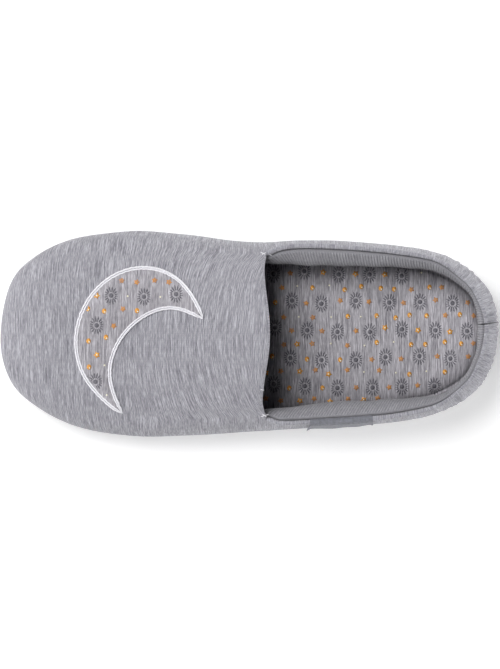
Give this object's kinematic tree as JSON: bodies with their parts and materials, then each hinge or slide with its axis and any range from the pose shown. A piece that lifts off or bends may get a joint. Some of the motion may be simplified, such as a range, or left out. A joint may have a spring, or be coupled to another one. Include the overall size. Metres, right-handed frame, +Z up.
{
  "type": "knitted slipper",
  "caption": "Slip-on knitted house shoe with a domed closed toe, padded ribbed collar, crescent patch on the vamp, foam insole and moulded rubber sole.",
  "frame": {"origin": "centre of the bounding box on the floor under the sole", "axes": "+X towards the toe, +Y towards the outer side of the left foot, +Z up"},
  "size_m": [0.258, 0.1065, 0.0678],
  "materials": {
    "sole_rubber": "matt moulded, dark grey",
    "printed_jersey": "heathered grey jersey with a small printed pattern",
    "heather_jersey": "heathered light grey jersey knit",
    "rib_knit": "soft rib knit, mid grey",
    "satin_thread": "white embroidery thread with a slight sheen",
    "woven_ribbon": "plain woven ribbon, blue-grey"
  },
  "bodies": {
    "root": {"outsole": "sole_rubber", "insole": "printed_jersey", "upper": "heather_jersey", "collar_facing": "rib_knit", "moon_patch": "printed_jersey", "moon_stitching": "satin_thread", "side_label": "woven_ribbon"}
  },
  "joints": []
}
